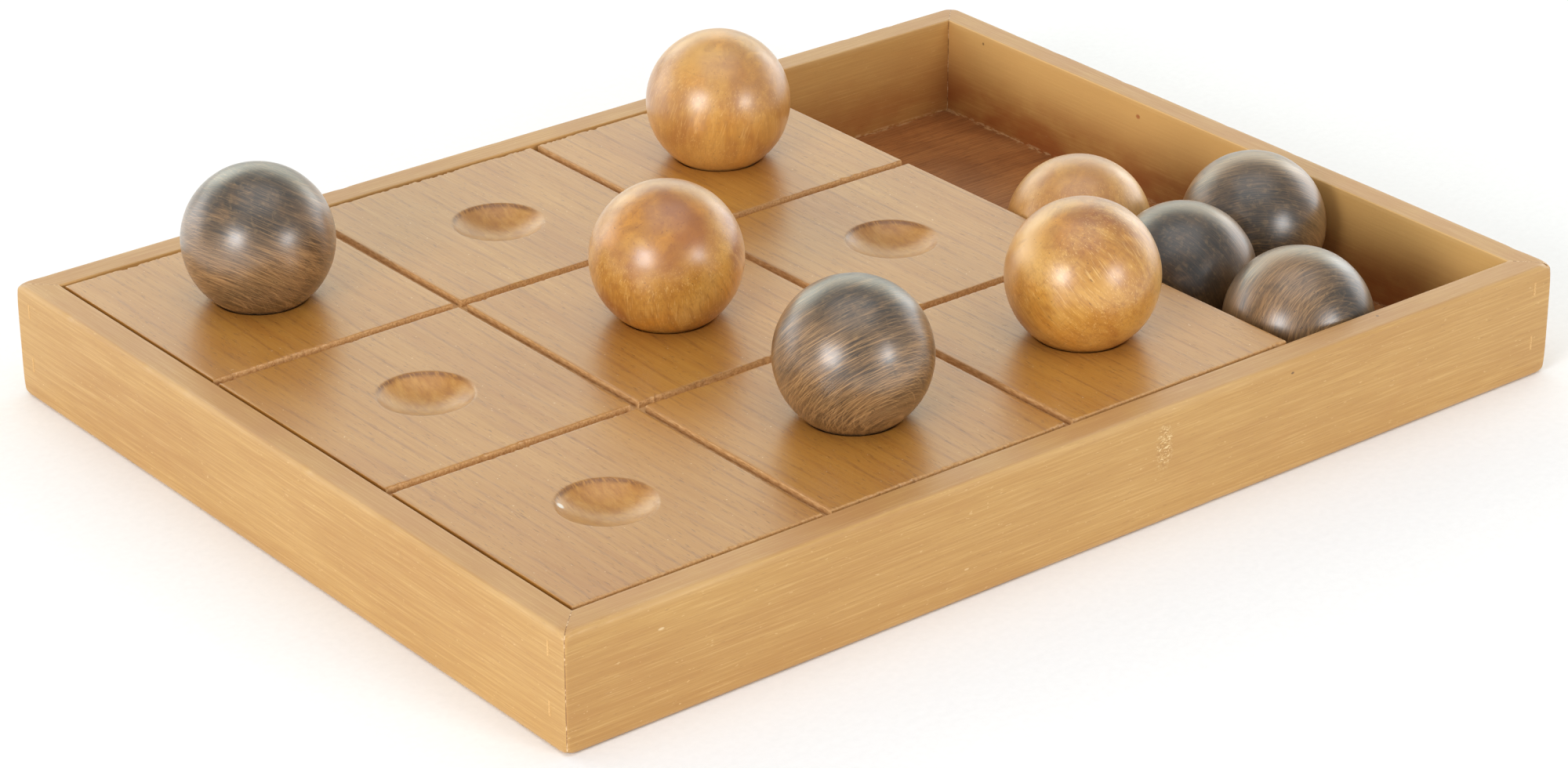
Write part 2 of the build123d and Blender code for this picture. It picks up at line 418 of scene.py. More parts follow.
def rail_place(name, along, depth, height):
    """A place on a rail in millimetres: along it from its middle, in from its outer face, and up."""
    axis, outward = RAILS[name][:2]
    long_axis, cross_axis = (1, 0) if axis == "y" else (0, 1)
    low, high = box_mm(name)
    place = [0.0, 0.0, low[2] + height]
    place[long_axis] = (low[long_axis] + high[long_axis]) / 2 + along
    place[cross_axis] = high[cross_axis] - depth if outward > 0 else low[cross_axis] + depth
    return place


def spot(paint, middle, reach):
    """A soft spot of 1 at its middle, in millimetres, that fades out at its reach along each axis."""
    shift = [-place / size for place, size in zip(middle, reach)]
    away = paint.node("VectorMath")
    away.operation = "LENGTH"
    paint.link(paint.space(*reach, shift=shift), away.inputs[0])
    return paint.span(away.outputs["Value"], 1.0, 0.45)


def knocks(paint, colour):
    """The scuffed patch on the front rail, and the few small dots and nicks that the rails have."""
    for rail, place, reach, mark, share in MARKS:
        colour = paint.tint(colour, mark, spot(paint, rail_place(rail, *place), reach), share)
    patch = spot(paint, rail_place("front_rail", *SCUFF_PLACE), SCUFF_REACH)
    flecks = paint.noise(paint.space(2.2, 2.2, 1.1), 3, 0.7, 1.2)
    colour = paint.tint(colour, (240, 214, 160), patch, paint.span(flecks, 0.52, 0.62), 0.75)
    return paint.tint(colour, (146, 98, 50), patch, paint.span(flecks, 0.46, 0.38), 0.45)


def edge_wear_and_highlight(paint, colour, layer):
    """Rubbed pale edges, broken up by the grain, that also serve as a painted highlight along the rounded
    edges.
    """
    edge = paint.stored("edge")
    broken = paint.span(layer["cloud"], 0.35, 0.65, 0.35, 1.0)
    # pale rubbed edges and painted highlight in one tint
    return paint.tint(colour, (230, 196, 146), edge, broken, 0.30)


def mitre_line(paint, colour):
    """The joint at each corner: a fine brown line with pale chips of filler."""
    seam = paint.stored("seam")
    chips = paint.noise(paint.space(1.6, 1.6, 3.4), 3, 0.7)
    tones = [(0.0, (112, 70, 36)), (0.6, (160, 112, 66)), (1.0, (236, 208, 168))]
    mark = paint.ramp(paint.span(chips, 0.40, 0.60), tones)
    return paint.mix(paint.times(paint.span(seam, 0.3, 0.9), 0.75), colour, mark)


def board_wood(name):
    """Satin board with broken dark streaks and fine pores running front to back."""
    paint = Paint(name, Coat_Weight=0.55, Coat_Roughness=0.3, Specular_IOR_Level=0.5)
    layer = grain_layers(paint, "y", 11)
    tone = paint.math("ADD", paint.times(layer["streak"], 0.45), paint.times(layer["cloud"], 0.55))
    tones = [(0.34, (170, 111, 41)), (0.48, (178, 122, 49)), (0.58, (183, 128, 54)), (0.72, (190, 136, 61))]
    colour = paint.ramp(tone, tones)
    colour = ring_lines(paint, colour)
    fibre = paint.span(layer["fibre"], 0.40, 0.64)
    colour = paint.tint(colour, (148, 94, 44), fibre, 0.16)
    pore = paint.span(layer["pore"], 0.64, 0.72)
    colour = paint.tint(colour, (104, 62, 30), pore, 0.45)
    colour = dimple_wood(paint, colour)
    colour = cut_wood(paint, colour)
    roughness = paint.span(layer["fibre"], 0.3, 0.7, 0.32, 0.42)
    rough_cut = paint.math("ADD", roughness, paint.times(paint.stored("cut"), 0.3))
    grain = paint.bump(layer["fibre"], 0.05)
    pits = paint.bump(paint.math("SUBTRACT", 1.0, pore), 0.04, grain)
    return paint.finish(colour, rough_cut, pits)


def ring_lines(paint, colour):
    """Soft broken year-ring lines, about 7 mm apart, that wander a little, and specks of pale dust."""
    across = paint.parts(paint.space(7.4, 1, 1))[0]
    wander = paint.noise(paint.space(60, 220, 60), 2, 0.5)
    place = paint.math("ADD", across, paint.times(wander, 3.0))
    wave = paint.math("PINGPONG", place, 0.5)
    line = paint.span(wave, 0.35, 0.49)
    broken = paint.span(paint.noise(paint.space(4, 40, 4), 3, 0.65), 0.36, 0.58)
    ticks = paint.span(paint.noise(paint.space(0.9, 7, 0.9), 2, 0.6), 0.38, 0.60, 0.40, 1.0)
    colour = paint.tint(colour, (138, 86, 40), line, broken, ticks, 0.58)
    dust = paint.noise(paint.space(0.9, 1.3, 0.9, shift=(5, 8, 2)), 1, 0.5)
    return paint.tint(colour, (232, 208, 170), paint.span(dust, 0.765, 0.80), 0.6)


def dimple_wood(paint, colour):
    """The routed dimples: golden end grain, mottled, with painted shade along the far side of their rims.
    """
    dimple = paint.stored("dimple")
    mottle = paint.noise(paint.space(3.2, 6.5, 6.5), 3, 0.6, 0.4)
    tones = [(0.34, (172, 114, 48)), (0.5, (190, 134, 60)), (0.66, (204, 152, 78))]
    golden = paint.ramp(mottle, tones)
    colour = paint.mix(paint.times(dimple, 0.65), colour, golden)
    strand = paint.noise(paint.space(0.9, 5, 5, shift=(2, 4, 6)), 3, 0.65)
    colour = paint.tint(colour, (150, 92, 36), dimple, paint.span(strand, 0.52, 0.68), 0.25)
    # painted shade along the dimples' far rims
    far_rim_shade = paint.times(paint.stored("far_rim_shade"), paint.span(strand, 0.34, 0.54))
    colour = paint.tint(colour, (112, 66, 28), far_rim_shade, 0.80)
    # a small near-white spot just inside one dimple's rim
    white_spot = spot(paint, rim_white_spot_place(), (1.8, 1.8, 1.8))
    return paint.tint(colour, (244, 240, 228), white_spot, 0.9)


def rim_white_spot_place():
    """The near-white spot in the front left dimple, just inside its rim on the camera's left."""
    low, high = box_mm("game_board")
    middle = (low + high) / 2
    away = math.radians(RIM_WHITE_SPOT_ANGLE)
    reach = RIM_WHITE_SPOT_FROM_MIDDLE
    x = middle[0] - DIMPLE_PITCH + reach * math.cos(away)
    y = middle[1] - DIMPLE_PITCH + reach * math.sin(away)
    return (x, y, high[2] - RIM_WHITE_SPOT_DEPTH)


def cut_wood(paint, colour):
    """Bare sawn wood in the grooves, with torn fibres, its pale colour lifted further as painted light, and
    painted shade as a dark line at the bottom.
    """
    cut = paint.stored("cut")
    torn = paint.noise(paint.space(0.7, 3.0, 0.7), 3, 0.6)
    # the bare wood's colour, lifted further as painted light against the groove's shade
    fresh_cut_with_painted_light = paint.ramp(
        torn,
        [
            (0.32, (178, 130, 78)),
            (0.48, (208, 162, 106)),
            (0.58, (220, 176, 120)),
            (0.72, (236, 200, 148)),
        ],
    )
    colour = paint.mix(paint.times(cut, 0.80), colour, fresh_cut_with_painted_light)
    # painted shade: a dark line at the groove's bottom
    groove_bottom_shade = paint.stored("groove_bottom_shade")
    return paint.tint(colour, (140, 88, 44), groove_bottom_shade, 0.22)


def base_wood(name):
    """The tray's floor: darker, redder and unpolished, with pale glue along its seams."""
    paint = Paint(name, Specular_IOR_Level=0.3)
    layer = grain_layers(paint, "x", 23)
    tone = paint.math("ADD", paint.times(layer["streak"], 0.35), paint.times(layer["stain"], 0.65))
    tones = [(0.34, (146, 90, 46)), (0.50, (168, 108, 58)), (0.68, (184, 124, 70))]
    colour = paint.ramp(tone, tones)
    fibre = paint.span(layer["fibre"], 0.38, 0.62)
    colour = paint.tint(colour, (92, 52, 28), fibre, 0.3)
    pore = paint.span(layer["pore"], 0.62, 0.7)
    colour = paint.tint(colour, (70, 40, 22), pore, 0.4)
    colour = seam_glue(paint, colour)
    roughness = paint.span(layer["fibre"], 0.3, 0.7, 0.42, 0.56)
    return paint.finish(colour, roughness, paint.bump(layer["fibre"], 0.08))


def seam_glue(paint, colour):
    """Dried glue and dust in a broken pale line along the trough's back and right walls."""
    right_wall = box_mm("right_rail")[0][0]
    back_wall = box_mm("back_rail")[0][1]
    place = paint.parts(paint.space(1, 1, 1))
    right = paint.span(place[0], right_wall - 2.0, right_wall - 0.4)
    back = paint.span(place[1], back_wall - 2.0, back_wall - 0.4)
    line = paint.math("MAXIMUM", right, back)
    broken = paint.span(paint.noise(paint.space(5, 5, 5), 3, 0.6), 0.48, 0.62)
    return paint.tint(colour, (206, 168, 118), line, broken, 0.65)


def plain_wood(name, seed, specular, tones, fibre_colour, roughness, relief):
    """Unpolished wood with its grain front to back."""
    paint = Paint(name, Specular_IOR_Level=specular)
    layer = grain_layers(paint, "y", seed)
    colour = paint.ramp(layer["streak"], tones)
    colour = paint.tint(colour, fibre_colour, paint.span(layer["fibre"], 0.4, 0.6), 0.25)
    rough = paint.span(layer["fibre"], 0.3, 0.7, *roughness)
    return paint.finish(colour, rough, paint.bump(layer["fibre"], relief))


def strip_wood(name):
    """Plain sawn pine of the hidden bearers."""
    tones = [(0.36, (186, 142, 88)), (0.52, (210, 172, 118)), (0.66, (222, 190, 138))]
    return plain_wood(name, 31, 0.4, tones, (160, 112, 64), (0.62, 0.78), 0.12)


def divider_wood(name):
    """The trough's left wall, in the rails' wood but never polished."""
    tones = [(0.36, (140, 86, 42)), (0.52, (170, 112, 60)), (0.66, (190, 134, 78))]
    return plain_wood(name, 29, 0.45, tones, (110, 66, 34), (0.42, 0.56), 0.08)


def staple_steel(name):
    """Galvanised staple wire with dull grey patches."""
    paint = Paint(name, Metallic=1.0)
    patch = paint.noise(paint.space(2.0, 2.0, 2.0), 3, 0.6)
    colour = paint.ramp(patch, [(0.35, (120, 118, 112)), (0.65, (188, 188, 184))])
    roughness = paint.span(patch, 0.3, 0.7, 0.28, 0.5)
    scratch = paint.noise(paint.space(4.0, 0.2, 0.2), 1, 0.5)
    return paint.finish(colour, roughness, paint.bump(scratch, 0.02))


def filler_paste(name):
    """Pale stopping over the sunk staples, specked with sawdust."""
    paint = Paint(name, Specular_IOR_Level=0.4)
    speck = paint.noise(paint.space(0.5, 0.5, 0.5), 3, 0.65)
    tones = [(0.34, (190, 144, 86)), (0.5, (212, 168, 106)), (0.66, (226, 188, 132))]
    colour = paint.ramp(speck, tones)
    roughness = paint.span(speck, 0.3, 0.7, 0.5, 0.68)
    return paint.finish(colour, roughness, paint.bump(speck, 0.05))


# ---------------------------------------------------------------- ball finishes


def ball_paint(name, pole, **shader):
    """A ball's material, with its own space turned so that the turning axis stands along Z."""
    paint = Paint(name, Specular_IOR_Level=0.5, **shader)
    paint.upright = Vector(pole).rotation_difference(Vector((0, 0, 1))).to_matrix()
    return paint


def light_ball_wood(name, seed, pole, shade_towards, pale):
    """Burnished honey ball: golden ground, a brown patch of painted shade over its top, fine fibres and
    short strokes.

    Pale is the share by which a ball is lighter than the others.
    """
    paint = ball_paint(name, pole, Coat_Weight=1.0, Coat_Roughness=0.32, Coat_IOR=1.60)
    shift = (seed * 5.1, seed * 2.7, seed * 3.3)
    cloud = paint.noise(paint.space(26, 26, 30, shift=shift), 3, 0.5, 0.5)
    tones = [(0.34, (168, 102, 32)), (0.46, (192, 132, 50)), (0.58, (208, 152, 66)), (0.70, (222, 170, 84))]
    colour = paint.ramp(cloud, tones)
    gold = paint.span(paint.noise(paint.space(20, 20, 24, shift=shift[::-1]), 2, 0.5, 0.3), 0.52, 0.68)
    colour = paint.tint(colour, (218, 146, 40), gold, 0.55)
    colour = ball_top_painted_shade(paint, colour, shade_towards, shift)
    colour = ball_fibres(paint, colour, pole, shift)
    colour = paint.tint(colour, (226, 178, 108), pale)
    roughness = paint.span(paint.noise(paint.space(3, 3, 3), 3, 0.6), 0.3, 0.7, 0.34, 0.46)
    relief = paint.noise(paint.space(0.5, 0.5, 7, shift=shift), 2, 0.6)
    return paint.finish(colour, roughness, paint.bump(relief, 0.05))


def ball_top_painted_shade(paint, colour, shade_towards, shift):
    """Painted shade: a mottled brown patch towards the ball's top, with reddish specks."""
    patch = paint.towards(shade_towards, 0.60, 1.0)
    mottle = paint.noise(paint.space(7, 7, 7, shift=shift), 4, 0.62, 0.6)
    # painted shade: a mottled brown patch towards the ball's top
    patchy_top_shade = paint.times(paint.span(mottle, 0.30, 0.66), patch)
    colour = paint.tint(colour, (142, 82, 32), patchy_top_shade, 0.55)
    speck = paint.span(paint.noise(paint.space(1.1, 1.1, 2.0, shift=shift), 2, 0.6), 0.60, 0.70)
    colour = paint.tint(colour, (126, 62, 24), speck, patch, 0.42)
    loose = paint.span(mottle, 0.54, 0.76)
    return paint.tint(colour, (160, 96, 38), loose, 0.32)


def ball_fibres(paint, colour, pole, shift):
    """Fine fibres from pole to pole, pale scratches along them, and a few turned arcs across."""
    side = paint.math("SUBTRACT", 1.0, paint.towards(pole, 0.50, 0.92))
    grain = paint.noise(paint.space(2.0, 2.0, 34, turn=(5, 7, 0), shift=shift), 2, 0.6, 0.2)
    colour = paint.tint(colour, (154, 94, 34), paint.span(grain, 0.48, 0.72), side, 0.36)
    colour = paint.tint(colour, (238, 190, 104), paint.span(grain, 0.48, 0.30), side, 0.22)
    fibre = paint.noise(paint.space(0.55, 0.55, 15, shift=shift), 2, 0.6)
    colour = paint.tint(colour, (148, 88, 34), paint.span(fibre, 0.50, 0.70), side, 0.30)
    turned = paint.noise(paint.space(13, 13, 0.7, turn=(9, 5, 0), shift=shift), 3, 0.7, 0.3)
    colour = paint.tint(colour, (142, 82, 34), paint.span(turned, 0.54, 0.72), 0.22)
    scratch = paint.noise(paint.space(0.45, 0.45, 20, turn=(8, -12, 0), shift=shift), 1, 0.5)
    pale = paint.times(paint.span(scratch, 0.59, 0.72), side, 0.38)
    colour = paint.tint(colour, (244, 206, 136), pale)
    pit = paint.noise(paint.space(0.9, 0.9, 2.4, shift=shift), 1, 0.5)
    return paint.tint(colour, (96, 56, 26), paint.span(pit, 0.73, 0.78), 0.55)


def dark_ball_wood(name, seed, pole, shade_towards, pale):
    """Grey-brown stained ball with smoky patches and a cap of painted shade on its upper side, under fine
    pale brushed arcs.

    Pale is the share by which its strokes are fainter.
    """
    paint = ball_paint(name, pole, Coat_Weight=1.0, Coat_Roughness=0.32, Coat_IOR=1.60)
    shift = (seed * 4.3, seed * 1.3, seed * 6.1)
    cloud = paint.noise(paint.space(22, 22, 12, shift=shift), 3, 0.55, 0.4)
    tones = [(0.34, (72, 54, 34)), (0.47, (110, 81, 49)), (0.58, (126, 93, 57)), (0.70, (136, 101, 63))]
    colour = paint.ramp(cloud, tones)
    smoke = paint.noise(paint.space(11, 11, 8, shift=shift), 4, 0.62, 0.6)
    loose = paint.times(paint.span(smoke, 0.48, 0.70), 0.55)
    # painted shade: a dark cap on the ball's upper side, joined with the smoky patches below
    top_shade_cap = paint.times(paint.towards(shade_towards, 0.35, 0.95), paint.span(smoke, 0.05, 0.55), 0.96)
    dark = paint.math("MAXIMUM", loose, top_shade_cap)
    colour = paint.tint(colour, (34, 29, 21), dark)
    rubbed = paint.noise(paint.space(2.6, 2.6, 1.8, shift=shift), 4, 0.65, 0.5)
    colour = paint.tint(colour, (134, 108, 70), paint.span(rubbed, 0.50, 0.68), 0.40)
    clear = paint.math("SUBTRACT", 1.0, paint.times(dark, 0.70))
    colour = brush_strokes(paint, colour, shift, paint.times(clear, 1 - pale))
    pore = paint.span(paint.noise(paint.space(1.1, 1.1, 0.8, shift=shift), 1, 0.5), 0.71, 0.77)
    colour = paint.tint(colour, (34, 30, 28), pore, 0.7)
    roughness = paint.span(cloud, 0.3, 0.7, 0.34, 0.44)
    relief = paint.noise(paint.space(17, 17, 0.34, shift=shift), 2, 0.55)
    return paint.finish(colour, roughness, paint.bump(relief, 0.05))


STROKE_SETS = (
    # turn in degrees, length and width in millimetres, share
    ((3, 2, 0), 26, 1.00, 0.20),
    ((0, 0, 0), 22, 0.30, 0.48),
    ((7, 5, 0), 17, 0.28, 0.42),
    ((-6, 9, 0), 26, 0.36, 0.34),
    ((14, -10, 0), 14, 0.24, 0.32),
)


def brush_strokes(paint, colour, shift, strength):
    """Fine pale and dark arcs brushed round the turning axis, in sets that cross at small angles."""
    for index, (turn, length, width, share) in enumerate(STROKE_SETS):
        moved = (shift[0] + index, shift[1], shift[2] + 9 * index)
        stroke = paint.noise(paint.space(length, length, width, turn=turn, shift=moved), 1, 0.5, 0.1)
        light = paint.times(paint.span(stroke, 0.54, 0.68), strength, share)
        colour = paint.tint(colour, (194, 151, 100), light)
        dark = paint.times(paint.span(stroke, 0.46, 0.30), strength, share * 0.70)
        colour = paint.tint(colour, (60, 46, 35), dark)
    return colour


# ---------------------------------------------------------------- rails


def arc(centre, radius, start, stop, steps):
    """Points on an arc, in degrees, without its first point."""
    angles = np.radians(np.linspace(start, stop, steps + 1)[1:])
    return [(centre[0] + radius * math.cos(a), centre[1] + radius * math.sin(a)) for a in angles]


def run(start, stop, steps):
    """Points on a straight run, without its first point."""
    shares = np.linspace(0, 1, steps + 1)[1:]
    return [(start[0] + (stop[0] - start[0]) * s, start[1] + (stop[1] - start[1]) * s) for s in shares]


def rail_section(thickness, height):
    """A rail's section as depth from its outer face and height, from the rebate round the outside."""
    r, e = EDGE_RADIUS, INNER_EASE
    points = [(REBATE_WIDTH, 0.0)]
    points += run(points[-1], (r, 0.0), 3)
    points += arc((r, r), r, 270, 180, 8)
    points += run(points[-1], (0.0, height - r), 22)
    points += arc((r, height - r), r, 180, 90, 8)
    points += run(points[-1], (thickness - e, height), 10)
    points += arc((thickness - e, height - e), e, 90, 0, 4)
    points += run(points[-1], (thickness, BASE_THICKNESS), 20)
    points += run(points[-1], (REBATE_WIDTH, BASE_THICKNESS), 3)
    points += run(points[-1], (REBATE_WIDTH, 0.0), 2)[:-1]
    return np.array(points)


def stations(half):
    """Places along a rail from -1 to 1, close together at the mitred ends."""
    mitre = [0, 0.15, 0.3]
    near = np.linspace(0.5, 6, 16)
    rest = np.linspace(6, half, int(half / 1.7))[1:]
    ends = np.concatenate([mitre, near, rest])
    share = 1 - ends / half
    return np.concatenate([-share, share[::-1][1:]])


def rail_dings(along, depth, height, full_height, seed, half):
    """Small knocks on the outer top and bottom edges."""
    rng = np.random.default_rng(seed)
    sunk = np.zeros_like(along)
    for _ in range(RAIL_DING_COUNT):
        place = rng.uniform(-half, half)
        size = rng.uniform(1.2, 3.2)
        top = rng.random() < 0.75
        level = full_height - height if top else height
        near = np.exp(-((along - place) / size) ** 2 - (depth / 1.6) ** 2 - (level / 1.8) ** 2)
        sunk += near * rng.uniform(0.10, 0.32)
    return sunk


def rail_points(half, section, full_height, seed):
    """Grid of (along, depth, height) for a mitred rail, with worn edges, and its finish masks."""
    share = stations(half)[:, None]
    depth = np.repeat(section[None, :, 0], len(share), axis=0)
    height = np.repeat(section[None, :, 1], len(share), axis=0)
    along = share * (half - depth)
    end = half - depth - np.abs(along)
    side = np.sign(along)

    from_edge = np.minimum(height, full_height - height)
    radius = CORNER_RADIUS_MIDDLE + (CORNER_RADIUS_ENDS - CORNER_RADIUS_MIDDLE) * np.exp(
        -from_edge / CORNER_RADIUS_FADE
    )
    turn = np.radians(45) * (1 - np.clip(end / radius, 0, 1))
    outside = 1 - smooth(depth, 0.0, 5.0)
    new_end = np.where(end < radius, radius * (np.cos(turn) - np.sin(turn)), end)
    inset = np.where(end < radius, radius * (1 - np.cos(turn)), 0.0)
    end_moved = end + outside * (new_end - end)
    depth_moved = depth + outside * inset

    surface = np.stack([along, depth * 3, height], axis=-1)
    rounding = (1 - smooth(end, 0, CORNER_WEAR_REACH)) * (1 - smooth(depth, 0, CORNER_WEAR_REACH))
    top_drop = rounding * (height > full_height / 2) * CORNER_TOP_DROP
    bottom_rise = rounding * (height < full_height / 2) * CORNER_BOTTOM_RISE
    sunk = rail_dings(along, depth, height, full_height, seed, half)
    wave = SANDING_SKIN + SANDING_WAVE * (1 + waves(surface, SANDING_WAVE_LENGTH, seed)) / 2
    outer_face = (depth < EDGE_RADIUS + 0.01) & (height > 0)
    on_top = height > full_height - EDGE_RADIUS - 0.01
    depth_moved = depth_moved + outer_face * (wave + sunk)
    height_moved = height - on_top * (wave + sunk) - top_drop + bottom_rise
    along_moved = side * (half - depth_moved - end_moved)

    outer_top = np.hypot(depth - 0.6, full_height - 0.6 - height)
    outer_low = np.hypot(depth - 0.6, height - 0.6)
    inner_top = np.hypot(depth - section[:, 0].max(), full_height - height)
    edge = np.maximum(np.exp(-((outer_top / 1.5) ** 2)), 0.7 * np.exp(-((outer_low / 1.3) ** 2)))
    edge = np.maximum(edge, 0.8 * np.exp(-((inner_top / 0.8) ** 2)))
    upright = np.exp(-((end / 1.0) ** 2)) * (depth < EDGE_RADIUS)
    edge = np.maximum(edge, 0.5 * upright)
    seam = np.exp(-((end / SEAM_HALF_WIDTH) ** 2))
    inner = (depth > section[:, 0].max() - 0.2) * 1.0
    grid = np.stack([along_moved, depth_moved, height_moved], axis=-1)
    return grid, {"edge": edge, "seam": seam, "inner": inner}


RAILS = {
    # name: (axis that it runs along, outward direction on the other axis, seed, inner painted shade, inner
    # painted light)
    "left_rail": ("y", -1, 3, 0.3, 0.0),
    "right_rail": ("y", 1, 5, 0.84, 0.72),
    "front_rail": ("x", -1, 7, 0.5, 0.0),
    "back_rail": ("x", 1, 9, 0.60, 0.25),
}


def make_rail(name):
    """A rail with mitred ends, rounded worn edges and its rebate for the base panel."""
    axis, outward, seed, inner_shade_share, inner_light_share = RAILS[name]
    low, high = (np.array(corner) / MM for corner in cad_box)
    own_low, own_high = box_mm(name)
    long_axis, cross_axis = (1, 0) if axis == "y" else (0, 1)
    half = (high[long_axis] - low[long_axis]) / 2
    middle = (high[long_axis] + low[long_axis]) / 2
    thickness = own_high[cross_axis] - own_low[cross_axis]
    outer = high[cross_axis] if outward > 0 else low[cross_axis]
    full_height = own_high[2] - own_low[2]
    section = rail_section(thickness, full_height)
    grid, masks = rail_points(half, section, full_height, seed)
    points = np.zeros_like(grid)
    points[..., long_axis] = middle + grid[..., 0]
    points[..., cross_axis] = outer - outward * grid[..., 1]
    points[..., 2] = low[2] + grid[..., 2]
    rows, columns = grid.shape[:2]
    faces = grid_faces(rows, columns, wrap=True)
    faces.append(list(range(columns))[::-1])
    faces.append(list(range((rows - 1) * columns, rows * columns)))
    if (outward < 0) == (axis == "y"):
        faces = [face[::-1] for face in faces]
    piece = mesh_piece(name + "_worn", points.reshape(-1, 3), faces)
    for mask, values in masks.items():
        point_value(piece, mask, values)
    piece.data.materials.append(rail_wood(name + "_wood", axis, seed, inner_shade_share, inner_light_share))
    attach(piece, "tray")
    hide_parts(name)
    return piece


# ---------------------------------------------------------------- board


def cell_ring_radius(share, half):
    """Radius of a cell's grid ring: even in the dimple, close over its rim, then out to the cell's edge."""
    stops = [0.0, 0.30, 0.42, 0.52, 1.0]
    radii = [0.0, DIMPLE_RIM - 1.6, DIMPLE_RIM + 1.6, DIMPLE_RIM + 8.0, half]
    return np.interp(share, stops, radii)


def cell_points(half_x, half_y):
    """Grid of one cell round its middle: circles over the dimple that turn into the cell's square edge."""
    line = np.linspace(-1, 1, CELL_STEPS + 1)
    a, b = np.meshgrid(line, line, indexing="ij")
    ring = np.maximum(np.abs(a), np.abs(b))
    safe = np.where(ring == 0, 1, ring)
    wide = np.abs(a) >= np.abs(b)
    slope = np.where(wide, b / np.where(a == 0, 1, a), a / np.where(b == 0, 1, b)) * math.pi / 4
    angle = np.where(wide, np.where(a >= 0, slope, slope + math.pi), 0)
    angle = np.where(~wide, np.where(b >= 0, math.pi / 2 - slope, -math.pi / 2 - slope), angle)
    radius = cell_ring_radius(ring, half_x)
    round_x, round_y = radius * np.cos(angle), radius * np.sin(angle)
    square_x, square_y = a / safe * radius, b / safe * radius * (half_y / half_x)
    blend = smooth(ring, 0.46, 0.98)
    x = round_x * (1 - blend) + square_x * blend
    y = round_y * (1 - blend) + square_y * blend
    x = np.where(ring == 0, 0, x)
    y = np.where(ring == 0, 0, y)
    return x, y


def dimple_height(distance):
    """Height of the surface from the board's top, never above it, at a distance from a dimple's middle."""
    sphere = DIMPLE_CENTRE_ABOVE_TOP - np.sqrt(np.maximum(DIMPLE_RADIUS**2 - distance**2, 0))
    return -DIMPLE_SOFTNESS * np.log1p(np.exp(np.clip(-sphere / DIMPLE_SOFTNESS, -60, 60)))


def chips(count, seed, share, reach):
    """Ragged outward bites along a cut edge, in millimetres, one for each point."""
    rng = np.random.default_rng(seed)
    rough = rng.random(count)
    knots = np.arange(0, count + CHIP_CLUSTER, CHIP_CLUSTER)
    cluster = np.interp(np.arange(count), knots, rng.random(len(knots)))
    bite = np.clip(rough * cluster - (1 - share), 0, 1) / share
    return bite * reach


def groove_offsets():
    """A groove's grid lines, by distance from its middle line."""
    h, e = GROOVE_HALF_WIDTH, GROOVE_EASE
    one_side = [h * 0.5, h - 0.08, h, h + e * 0.3]
    return [-offset for offset in one_side[::-1]] + [0] + one_side


def line_places(low, high, grooves):
    """One direction's grid lines, from the board's low side to its high side."""
    h, e = GROOVE_HALF_WIDTH, GROOVE_EASE
    bounds = [low + e] + [v for g in grooves for v in (g - h - e, g + h + e)] + [high - e]
    places = []
    for cell in range(3):
        places += list(np.linspace(bounds[2 * cell], bounds[2 * cell + 1], CELL_STEPS + 1))
        if cell < 2:
            places += [grooves[cell] + offset for offset in groove_offsets()]
    return np.array(places)


def board_grid(low, high):
    """The board's top as a grid of x and y places, with each cell's dimple rings."""
    middle = (low + high) / 2
    half = GROOVE_SPACING / 2
    grooves = [[middle[axis] - half, middle[axis] + half] for axis in (0, 1)]
    places = [line_places(low[axis], high[axis], grooves[axis]) for axis in (0, 1)]
    x, y = np.meshgrid(places[0], places[1], indexing="ij")
    starts = [cell * (CELL_STEPS + 1 + len(groove_offsets())) for cell in range(3)]
    for column in range(3):
        for row in range(3):
            i = slice(starts[column], starts[column] + CELL_STEPS + 1)
            j = slice(starts[row], starts[row] + CELL_STEPS + 1)
            x0, x1 = places[0][i][0], places[0][i][-1]
            y0, y1 = places[1][j][0], places[1][j][-1]
            cx = middle[0] + (column - 1) * DIMPLE_PITCH
            cy = middle[1] + (row - 1) * DIMPLE_PITCH
            fill_cell(x, y, i, j, (x0, x1, y0, y1), (cx, cy))
    return x, y, places, grooves, middle


def fill_cell(x, y, i, j, bounds, centre):
    """Writes one cell's places, with its rings round the dimple and its edges on the cell's own bounds."""
    x0, x1, y0, y1 = bounds
    half = min(centre[0] - x0, x1 - centre[0], centre[1] - y0, y1 - centre[1])
    local_x, local_y = cell_points(half, half)
    line = np.linspace(-1, 1, CELL_STEPS + 1)
    a, b = np.meshgrid(line, line, indexing="ij")
    reach = smooth(np.maximum(np.abs(a), np.abs(b)), 0.5, 1.0)
    even_x = (x0 + x1) / 2 + a * (x1 - x0) / 2
    even_y = (y0 + y1) / 2 + b * (y1 - y0) / 2
    x[i, j] = (centre[0] + local_x) * (1 - reach) + even_x * reach
    y[i, j] = (centre[1] + local_y) * (1 - reach) + even_y * reach


def groove_depth(distance):
    """Depth of a groove below the top at a distance from its middle line."""
    h, e = GROOVE_HALF_WIDTH, GROOVE_EASE
    places = [h - 0.09, h - 0.01, h, h + e * 0.3, h + e]
    wall = np.interp(distance, places, [1, 1, e / GROOVE_DEPTH, 0.03, 0])
    return GROOVE_DEPTH * np.where(distance < h - 0.05, 1.0, wall)


